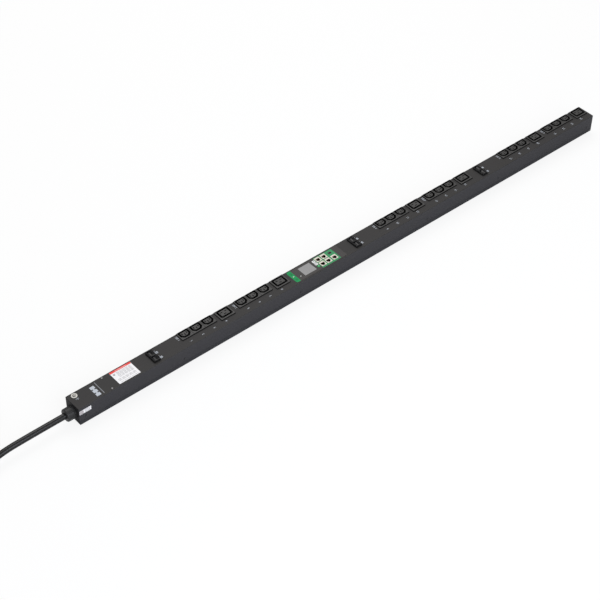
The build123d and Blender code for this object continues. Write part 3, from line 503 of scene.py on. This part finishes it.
def powder_coat(name, low, high, face_light_tone):
    """Textured powder coat: fine orange peel, faint cloudy gloss and a few rubbed streaks. The
    face is painted a little warmer than the sides: painted light, standing in for the warm key
    light that falls on it."""
    coat = Finish(name)
    cloud = coat.noise(0.06)
    speck = coat.noise(peel_size)
    lengthwise = {"Vector": coat.place, "Scale": (9.0, 90.0, 90.0)}
    streaked = coat.node("ShaderNodeMapping", {}, lengthwise)
    rubbed = coat.node("ShaderNodeTexNoise", {}, {"Vector": streaked, "Scale": 1.0, "Detail": 4.0})
    rubbed_mask = (rubbed > 0.63) * 0.35
    height = coat.node("ShaderNodeSeparateXYZ", {}, {"Vector": coat.place}, "Z")
    # Painted light: the face above this height takes the warmer face tone, the sides the cooler
    # one.
    tone = coat.mix(height > face_height - 0.0008, low, face_light_tone)
    base = coat.mix(cloud * 0.7 + speck * 0.3, tone, high)
    return coat.shade({
        "Base Color": coat.mix(rubbed_mask, base, high),
        "Roughness": 0.50 + 0.12 * cloud + 0.08 * speck,
        "Specular IOR Level": 0.2,
        "Normal": coat.bump(speck, 0.00006, 0.7),
    })


# Tones: sides, mottle, and the face, whose warmer tone is painted light.
channel_tones = colour(45, 45, 50), colour(52, 51, 52), colour(47, 45, 43)
tray_tones = colour(40, 40, 43), colour(46, 46, 49), colour(40, 40, 43)
# Darker copy of the same coat for the end plates: painted shade on the end faces.
shaded_plate_tones = colour(22, 22, 24), colour(28, 28, 30), colour(22, 22, 24)
channel_coat = powder_coat("channel_coat", *channel_tones)
tray_coat = powder_coat("tray_coat", *tray_tones)
shaded_plate_coat = powder_coat("shaded_plate_coat", *shaded_plate_tones)
dress(channel_coat, "front_channel")
dress(shaded_plate_coat, "cord_end_plate", "far_end_plate")
dress(tray_coat, "rear_tray")

# ---- Screws and pegs ----
# Black pan-head screws hold the tray through the sides. Small plated screws and the wide-flanged
# earth screw stand on the face; the two plated pegs are riveted to the back.
steel_grain = 0.0003, 0.00002  # size and depth
dark_tones = colour(40, 40, 42), colour(54, 54, 56)
dark_steel = moulded_material("blackened_steel", *dark_tones, 0.38, *steel_grain)
dress(dark_steel, "side_screws")
dress(zinc_plate, "mounting_pegs", "gland_nut")
dull_tones = colour(132, 130, 130), colour(150, 148, 148)
dull_steel = moulded_material("passivated_steel", *dull_tones, 0.4, *steel_grain)
dress(dull_steel, "face_screws")


def bright_zinc():
    """Fresh white zinc on the earth screw: nearly white and satin, with a darker ring painted
    between head and flange as painted shade in the crease there."""
    low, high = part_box("ground_screw")
    zinc = Finish("fresh_zinc")
    cloud = zinc.noise(0.003)
    place = {"Vector": zinc.place}
    off_x = zinc.node("ShaderNodeSeparateXYZ", {}, place, "X") - (low.x + high.x) / 2
    off_y = zinc.node("ShaderNodeSeparateXYZ", {}, place, "Y") - (low.y + high.y) / 2
    squared = (off_x * off_x + off_y * off_y) * 1e6
    # Painted shade: a darker ring between head and flange.
    crease_shade = (squared > 6.0) * (squared < 24.0)
    plate = zinc.mix(cloud, colour(176, 174, 169), colour(158, 157, 152))
    return zinc.shade({
        "Base Color": zinc.mix(crease_shade * 0.7, plate, colour(92, 92, 90)),
        "Metallic": 0.5,
        "Roughness": 0.34 + 0.12 * cloud,
        "Normal": zinc.bump(zinc.noise(0.0005), 0.00003, 0.6),
    })


dress(bright_zinc(), "ground_screw")

# ---- Printing on the face ----
# Pale grey screen print, a few hundredths of a millimetre thick: an earth symbol and a plain mark
# of blocks here, ratings and numbers in the sections below. It reads with the cord end up.
ink_thickness = 0.00006
ink_lift = 0.00002


def ink_material(name, tone):
    """Screen-print ink: even colour, thin patches where the mesh of the screen shows."""
    ink = Finish(name)
    patch = ink.noise(0.0007)
    worn = tuple(part * 0.86 for part in tone[:3]) + (1.0,)
    return ink.shade({
        "Base Color": ink.mix(patch, tone, worn),
        "Roughness": 0.5 + 0.1 * patch,
        "Specular IOR Level": 0.15,
        "Normal": ink.bump(patch, 0.00001, 0.4),
    })


def prisms(outlines, bottom, height):
    """Upright prisms: each outline of (x, y) points, counter-clockwise, carried up by height."""
    vertices = []
    faces = []
    start = 0
    for outline in outlines:
        flat = np.asarray(outline, float)
        count = len(flat)
        lower = np.column_stack([flat, np.full(count, bottom)])
        upper = np.column_stack([flat, np.full(count, bottom + height)])
        vertices.append(np.vstack([lower, upper]))
        ring = np.arange(count)
        after = (ring + 1) % count
        sides = np.column_stack([ring, after, after + count, ring + count]) + start
        faces += sides.tolist()
        faces.append((ring[::-1] + start).tolist())
        faces.append((ring + count + start).tolist())
        start += 2 * count
    return np.vstack(vertices), faces


def bar_outline(x, y, size_x, size_y):
    """Rectangle centred on a place."""
    return [
        (x - size_x / 2, y - size_y / 2),
        (x + size_x / 2, y - size_y / 2),
        (x + size_x / 2, y + size_y / 2),
        (x - size_x / 2, y + size_y / 2),
    ]


def lettering(name, words, x, y, size, material, bottom):
    """Words cut as a thin solid, centred on a place, reading along +Y with their tops to -X."""
    text = bpy.data.curves.new(name, "FONT")
    text.body = words
    text.size = size
    text.align_x = "CENTER"
    text.align_y = "CENTER"
    text.extrude = ink_thickness / 2
    text.resolution_u = 3
    made = bpy.data.objects.new(name, text)
    bpy.context.scene.collection.objects.link(made)
    bpy.context.view_layer.update()
    mesh = bpy.data.meshes.new_from_object(made)
    bpy.data.objects.remove(made)
    turn = Matrix.Translation((x, y, bottom + ink_thickness / 2)) @ Matrix.Rotation(pi / 2, 4, "Z")
    mesh.transform(turn)
    mesh.materials.clear()
    mesh.materials.append(material)
    printed = bpy.data.objects.new(name, mesh)
    bpy.context.scene.collection.objects.link(printed)
    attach(printed, "case")
    return printed


def along(distance):
    """Place on X of a distance from the cord end, in millimetres."""
    return cord_end + distance / 1000


pale_ink = ink_material("pale_ink", colour(186, 191, 198))
dim_ink = ink_material("dim_ink", colour(140, 142, 146))
print_bottom = face_height + ink_lift

mark_outlines = [bar_outline(along(66.0), y / 1000, 0.0125, 0.0095) for y in (-16.0, -3.0, 10.0)]
mark_outlines += [bar_outline(along(66.0), y / 1000, 0.0042, 0.0035) for y in (-9.5, 3.5)]
piece("face_mark", *prisms(mark_outlines, print_bottom, ink_thickness), pale_ink)
face_rule = bar_outline(along(79.7), 0.0, 0.0016, 0.0440)
piece("face_rule", *prisms([face_rule], print_bottom, ink_thickness), dim_ink)
earth_y = 0.0034
earth_bars = [
    bar_outline(along(18.6 + step), earth_y, 0.0007, length)
    for step, length in ((0, 0.0078), (1.8, 0.0050), (3.6, 0.0022))
]
earth_bars.append(bar_outline(along(15.8), earth_y, 0.0052, 0.0007))
piece("earth_symbol", *prisms(earth_bars, print_bottom, ink_thickness), pale_ink)

# ---- Information labels ----
# White polyester labels: a coloured band, ruled lines of small print and a code block, all
# printed, with the lines as plain bars. The left third of the side label is grey.
label_face = face_height + 0.00015
label_left = along(125.0)
label_right = along(188.0)
label_middle = (label_left + label_right) / 2
label_width = label_right - label_left
label_bottom = 0.0009 - 0.0234
label_top = 0.0009 + 0.0234
label_print = label_face + ink_lift


def paper_label():
    """Satin white polyester film with the faintest flutter."""
    film = Finish("label_film")
    flutter = film.noise(0.02)
    return film.shade({
        "Base Color": film.mix(flutter, colour(222, 221, 222), colour(230, 229, 230)),
        "Roughness": 0.42,
        "Normal": film.bump(flutter, 0.00008, 0.4),
    })


label_paper = paper_label()
band_ink = ink_material("band_ink", colour(226, 78, 74))
grey_ink = ink_material("grey_ink", colour(138, 137, 140))
dark_ink = ink_material("dark_ink", colour(62, 62, 68))
band_width = 0.0062
band = bar_outline(label_middle, label_top - band_width / 2, label_width - 0.0006, band_width)
piece("label_band", *prisms([band], label_print, ink_thickness), band_ink)
band_print = [
    bar_outline(label_left + 0.0170 + 0.0050 * word, label_top - 0.0034, 0.0042, 0.0012)
    for word in range(7)
]
band_face = label_face + 2 * ink_lift + ink_thickness
band_white = ink_material("band_white", colour(240, 214, 212))
piece("label_band_print", *prisms(band_print, band_face, ink_thickness), band_white)
small_print = []
blank_lines = (7, 11)
for line in range(13):
    if line in blank_lines:
        continue
    y = label_top - 0.0098 - 0.0028 * line
    start = 0.0135 if line < 7 else 0.0045
    for part in range(5):
        reach = (0.0580 - start) / 5
        length = reach * (0.70 + 0.24 * cos(2.3 * line + part * 1.9) ** 2)
        x = label_left + start + reach * (part + 0.5)
        small_print.append(bar_outline(x, y, length, 0.0008))
piece("label_small_print", *prisms(small_print, label_print, ink_thickness), grey_ink)
code_left = label_left + 0.0050
code_top = label_top - 0.0105
code_block = [
    bar_outline(code_left + 0.0014 * column, code_top - 0.0014 * row, 0.0012, 0.0012)
    for row in range(4)
    for column in range(4)
    if (row * 3 + column * 5) % 4 != 1
]
piece("label_code", *prisms(code_block, label_print, ink_thickness), dark_ink)


def stood_up(vertices, front):
    """Turn flat print so that its height runs up the side of the case, at y = front."""
    flat, faces = vertices
    rise = flat[:, 2] - flat[:, 2].min()
    return np.column_stack([flat[:, 0], front - rise, flat[:, 1]]), [f[::-1] for f in faces]


side_low, side_high = along(1.2), along(35.2)
side_middle = 0.0057 + 0.0395
side_height = 0.0122
label_centre = (label_bottom + label_top) / 2
face_sheet = bar_outline(label_middle, label_centre, label_width, label_top - label_bottom)
face_points, face_faces = prisms([face_sheet], face_height, label_face - face_height)
side_sheet = bar_outline((side_low + side_high) / 2, side_middle, side_high - side_low, side_height)
side_points, side_faces = stood_up(prisms([side_sheet], 0, 0.00012), -half_width)
moved_faces = [[corner + len(face_points) for corner in face] for face in side_faces]
both_points = np.vstack([face_points, side_points])
sheets = piece("label_sheets", both_points, list(face_faces) + moved_faces, label_paper)
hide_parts("information_labels")
side_front = -half_width - 0.00013 - ink_lift
side_panel = bar_outline(side_low + 0.0062, side_middle, 0.0112, side_height - 0.0012)
side_shade = ink_material("side_shade", colour(172, 166, 168))
panel_print = stood_up(prisms([side_panel], 0, ink_thickness), side_front)
piece("side_label_panel", *panel_print, side_shade)
side_lines = []
for line in range(5):
    height = side_middle + 0.0042 - 0.0021 * line
    side_lines.append(bar_outline(side_low + 0.0228, height, 0.0170 - 0.004 * (line % 2), 0.0006))
line_print = stood_up(prisms(side_lines, 0, ink_thickness), side_front)
piece("side_label_print", *line_print, grey_ink)

# ---- Breakers ----
# Black thermoset housings whose guard walls stand round a hollowed rocker on a cross pin. The
# rocker's raised end has a small status hole. A number and a rating are printed beside each.
breaker_case = moulded_material("breaker_case", colour(16, 16, 17), colour(22, 22, 23), 0.42)
rocker_tones = colour(14, 14, 15), colour(22, 22, 24)
rocker_gloss = moulded_material("rocker_gloss", *rocker_tones, 0.26, 0.0009, 0.00003)
for number in range(1, 7):
    dress(breaker_case, f"breaker_{number}")
    dress(rocker_gloss, f"breaker_rocker_{number}")
    low, high = (np.array(corner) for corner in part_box(f"breaker_{number}"))
    y = (low[1] + high[1]) / 2
    x = high[0] + 0.0050
    name = f"breaker_number_{number}"
    lettering(name, f"{number}", x - 0.0012, y + 0.0046, 0.0044, pale_ink, print_bottom)
    rating = []
    for line in range(4):
        rule_x = x - 0.0020 + 0.0019 * line
        rating.append(bar_outline(rule_x, y - 0.0026, 0.0012, 0.0078 - 0.0012 * (line % 2)))
    piece(f"breaker_rating_{number}", *prisms(rating, print_bottom, ink_thickness), pale_ink)

# ---- Outlets ----
# Six banks of three small outlets and one large one, moulded in satin black nylon. Numbers 1 to
# 24 stand in a row along the free edge, and a bank mark stands before each bank.
outlet_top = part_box("small_outlets_1")[1][2]


def outlet_material():
    """Black nylon, glossy: the flat tops are painted grey with a faint mottle as painted light from
    the lamps above, and everything below them near-black as painted shade on the sides and in the
    grooves and slots."""
    nylon = Finish("outlet_nylon")
    height = nylon.node("ShaderNodeSeparateXYZ", {}, {"Vector": nylon.place}, "Z")
    top_mottle = nylon.noise(0.004, 4.0)
    # Painted light: the tops' grey with a faint mottle; below the tops the colour is near-black
    # painted shade.
    grey = nylon.mix(top_mottle, colour(58, 57, 56), colour(66, 65, 64))
    return nylon.shade({
        "Base Color": nylon.mix(height > outlet_top - 0.0003, colour(5, 5, 5), grey),
        "Roughness": 0.38 + 0.12 * top_mottle,
        "Specular IOR Level": 0.2,
        "Normal": nylon.bump(nylon.noise(0.0008), 0.00003, 0.6),
    })


outlet_nylon = outlet_material()
# Painted shade: flat near-black strips along the groove edges stand in for the shade there.
groove_shade_tones = colour(2, 2, 2), colour(5, 5, 5)
groove_shade_paint = moulded_material("groove_shade_paint", *groove_shade_tones, 0.7, 0.0008, 0.00002, 0.02)
groove_shade_width = 0.0014
groove_width = 0.0029
small_groove = (0.0285, 0.0226)
small_cuts = (0.0072, 0.0072, 0.0010, 0.0010)
large_groove = (0.0342, 0.0262)
large_cuts = (0.0018,) * 4


def groove_shade_strips(places, size, cuts):
    """Near-black flat strips laid on the tops along both edges of each ring groove: painted shade
    at the groove edges. An outline of the groove at inset t is the rectangle size - 2t with corners
    cut back by cut - 0.59t; each strip lies between two such outlines."""
    corner = np.array([(-1, -1), (1, -1), (1, 1), (-1, 1)]) / 2
    insets = np.array([-groove_shade_width, 0.0, groove_width, groove_width + groove_shade_width])
    width = np.array(size) - 2 * insets[:, None]
    back = np.maximum(np.array(cuts) - 0.59 * insets[:, None], 0.0004)
    ends = np.repeat(corner[None] * width[:, None], 2, axis=1)
    ends[:, [1, 6], 0] += np.stack([back[:, 0], back[:, 3]], 1)
    ends[:, [2, 5], 0] -= np.stack([back[:, 1], back[:, 2]], 1)
    ends[:, [0, 3], 1] += back[:, [0, 1]]
    ends[:, [4, 7], 1] -= back[:, [2, 3]]
    rings = ends[None] + np.array(places)[:, None, None]
    height = np.full(rings.shape[:-1] + (1,), outlet_top + ink_lift)
    strips = grid_faces(2, 8, close_columns=True)
    starts = (np.arange(2 * len(places)) * 16)[:, None, None]
    return np.concatenate([rings, height], -1).reshape(-1, 3), (strips + starts).reshape(-1, 4)


number_row = 0.01225 - half_width
outlet_number = 0
for bank in range(1, 7):
    small_box = [np.array(corner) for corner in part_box(f"small_outlets_{bank}")]
    large_box = [np.array(corner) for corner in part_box(f"large_outlet_{bank}")]
    dress(outlet_nylon, f"small_outlets_{bank}", f"large_outlet_{bank}")
    pitch = (small_box[1][0] - small_box[0][0]) / 3
    places = [small_box[0][0] + pitch * (index + 0.5) for index in range(3)]
    places.append((large_box[0][0] + large_box[1][0]) / 2 - 0.0125)
    small_y = small_box[1][1] - 0.0130
    large_y = large_box[1][1] - 0.0163
    large_x = (large_box[0][0] + large_box[1][0]) / 2
    small_places = [(x, small_y) for x in places[:3]]
    piece(f"small_groove_shade_{bank}", *groove_shade_strips(small_places, small_groove, small_cuts), groove_shade_paint)
    piece(f"large_groove_shade_{bank}", *groove_shade_strips([(large_x, large_y)], large_groove, large_cuts), groove_shade_paint)
    for place in places:
        outlet_number += 1
        name = f"outlet_number_{outlet_number}"
        lettering(name, f"{outlet_number}", place, number_row, 0.0085, pale_ink, print_bottom)
    bank_x = small_box[0][0] - 0.0052
    lettering(f"bank_number_{bank}", f"{bank}", bank_x, 0.0060, 0.0075, pale_ink, print_bottom)
    rules = []
    for line in range(3):
        rule_x = bank_x - 0.0022 + 0.0022 * line
        rules.append(bar_outline(rule_x, 0.0148, 0.0008, 0.0110 - 0.003 * (line % 2)))
    piece(f"bank_rule_{bank}", *prisms(rules, print_bottom, ink_thickness), pale_ink)

# ---- Control section ----
# A brown-grey printed overlay carries a green tab, the display window, a status light, three
# buttons and the green port field with five network jacks and a service port.
film_grain = 0.0005, 0.00002  # size and depth
overlay_tones = colour(48, 45, 44), colour(53, 50, 49)
overlay_film = moulded_material("overlay_film", *overlay_tones, 0.42, *film_grain)
dress(overlay_film, "control_overlay")
overlay_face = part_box("control_overlay")[1][2]


def rounded_outline(x_low, x_high, y_low, y_high, radii):
    """Rectangle whose four corners, from the lower left counter-clockwise, have their own radii."""
    corners = ((x_low, y_low, 180), (x_high, y_low, 270), (x_high, y_high, 0), (x_low, y_high, 90))
    outline = []
    for (x, y, start), radius in zip(corners, radii):
        middle_x = x + radius * (1 if x == x_low else -1)
        middle_y = y + radius * (1 if y == y_low else -1)
        angle = np.radians(start + np.linspace(0, 90, 7))
        outline += list(zip(middle_x + radius * np.cos(angle), middle_y + radius * np.sin(angle)))
    return outline


tab_ink = ink_material("tab_ink", colour(24, 142, 80))
tab = rounded_outline(along(690.9), along(704.0), -0.0222, 0.0240, (0.005, 0.001, 0.001, 0.005))
piece("green_tab", *prisms([tab], overlay_face + ink_lift, ink_thickness), tab_ink)
tab_face = overlay_face + ink_lift + ink_thickness
tab_print = ink_material("tab_print", colour(24, 84, 58))
tab_bars = []
for line in range(3):
    x = along(696.0 + 2.4 * line)
    tab_bars.append(bar_outline(x, 0.0125, 0.0009, 0.0095))
    tab_bars.append(bar_outline(x, -0.0125, 0.0009, 0.0075 - 0.0015 * line))
piece("tab_lines", *prisms(tab_bars, tab_face, ink_thickness), tab_print)
white_ink = ink_material("white_ink", colour(205, 208, 207))
tab_title = [bar_outline(along(697.8), 0.0006, 0.0042, 0.0024)]
piece("tab_title", *prisms(tab_title, tab_face, ink_thickness), white_ink)


def display_film(name):
    """Unlit display behind its window: silvery grey film, finely grained, with a painted sheen that
    makes it a little brighter to one side."""
    panel = Finish(name)
    dots = panel.noise(0.0002)
    painted_sheen = panel.noise(0.03)
    return panel.shade({
        "Base Color": panel.mix(painted_sheen, colour(143, 142, 142), colour(136, 135, 135)),
        "Roughness": 0.42 + 0.04 * painted_sheen,
        "Specular IOR Level": 0.2,
        "Normal": panel.bump(dots, 0.000002, 0.1),
    })


dress(display_film("display_film"), "display_window", "display_panel")
button_white = moulded_material("button_white", colour(205, 207, 206), colour(212, 213, 212), 0.4)
button_green = moulded_material("button_green", colour(28, 140, 74), colour(36, 150, 82), 0.4)
dress(button_white, "menu_button_1", "menu_button_2")
dress(button_green, "select_button")
glyph_ink = ink_material("glyph_ink", colour(96, 98, 98))
for name, turns in (("menu_button_1", 1), ("menu_button_2", -1)):
    low, high = (np.array(corner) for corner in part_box(name))
    middle = (low + high) / 2
    arrow = [(0.0016, -0.0018), (0.0016, 0.0018), (-0.0014, 0.0)]
    outline = [(middle[0] + turns * x, middle[1] + turns * y) for x, y in arrow]
    printed = prisms([outline], high[2] + ink_lift, ink_thickness)
    piece(f"{name}_arrow", *printed, glyph_ink, f"{name}_cap")
low, high = (np.array(corner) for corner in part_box("select_button"))
middle = (low + high) / 2
tick = [
    bar_outline(middle[0], middle[1], 0.0032, 0.0006),
    bar_outline(middle[0], middle[1] + 0.0014, 0.0014, 0.0006),
]
printed = prisms(tick, high[2] + ink_lift, ink_thickness)
piece("select_button_mark", *printed, white_ink, "select_button_cap")
light_frost = moulded_material("light_frost", colour(168, 170, 166), colour(186, 188, 184), 0.3)
dress(light_frost, "status_light")
port_tones = colour(34, 128, 76), colour(42, 136, 84)
port_film = moulded_material("port_film", *port_tones, 0.42, *film_grain)
dress(port_film, "port_label")

# ---- Network jacks ----
# Cream moulded frames round black inner shells, on the control board. Each jack holds eight gilt
# spring wires on the wall opposite its latch notch.


def jack_material():
    """Cream frame down to a little under the face, black shell below that."""
    jack = Finish("jack_frame")
    height = jack.node("ShaderNodeSeparateXYZ", {}, {"Vector": jack.place}, "Z")
    mottle = jack.noise(0.01)
    cream = jack.mix(mottle, colour(206, 198, 186), colour(214, 206, 194))
    return jack.shade({
        "Base Color": jack.mix(height > face_height - 0.0004, colour(14, 14, 14), cream),
        "Roughness": 0.36 + 0.08 * mottle,
        "Specular IOR Level": 0.25,
        "Normal": jack.bump(jack.noise(0.0006), 0.00003, 0.6),
    })


dress(jack_material(), "upper_jacks", "lower_jacks")
service_shell = moulded_material("service_shell", colour(52, 58, 54), colour(62, 68, 64), 0.4)
dress(service_shell, "service_port")


def gilt_material():
    """Gold-flashed phosphor bronze wire."""
    gilt = Finish("gilt_wire")
    dull = gilt.noise(0.002)
    return gilt.shade({
        "Base Color": gilt.mix(dull, colour(232, 194, 110), colour(205, 165, 88)),
        "Metallic": 1.0,
        "Roughness": 0.22 + 0.1 * dull,
    })


gilt_wire = gilt_material()
wire_pitch = 0.00102
wire_half = 0.00022
wire_path = np.array([(0.0040, -0.0020), (0.0028, -0.0040), (0.0008, -0.0100)])  # y and z


def spring_wires(x, y):
    """Eight square wires: each slants from deep in the jack up towards its mouth."""
    vertices = []
    faces = []
    corner = [0, 3, 9, 6]
    for index in range(8):
        wire_x = x + (index - 3.5) * wire_pitch
        for side in (-1, 1):
            for lift in (-1, 1):
                vertices += [
                    (wire_x + side * wire_half, y + wy + lift * wire_half, face_height + wz)
                    for wy, wz in wire_path
                ]
        base = 12 * index
        for step in range(2):
            start = base + step
            for here, after in zip(corner, corner[1:] + corner[:1]):
                faces.append([start + here, start + after, start + after + 1, start + here + 1])
        faces.append([base + k for k in reversed(corner)])
        faces.append([base + 2 + k for k in corner])
    return vertices, faces


jack_places = [(790.8, 11.2), (810.4, 11.2), (790.8, -8.7), (810.4, -8.7), (831.2, -8.7)]
for number, (x, y) in enumerate(jack_places, 1):
    piece(f"jack_wires_{number}", *spring_wires(along(x), y / 1000), gilt_wire)

# ---- Inside the case ----
# Control board, terminal block, wires and clips: seen only when the case is open.
board_laminate = moulded_material("board_laminate", colour(22, 92, 54), colour(30, 106, 62), 0.4)
dress(board_laminate, "control_board")
block_nylon = moulded_material("block_nylon", colour(70, 70, 70), colour(84, 84, 84), 0.5)
dress(block_nylon, "terminal_block")
wire_vinyl = moulded_material("wire_vinyl", colour(30, 30, 30), colour(40, 40, 40), 0.4)
dress(wire_vinyl, "wires")
clip_nylon = moulded_material("clip_nylon", colour(200, 200, 196), colour(212, 212, 208), 0.5)
dress(clip_nylon, "wire_clips")
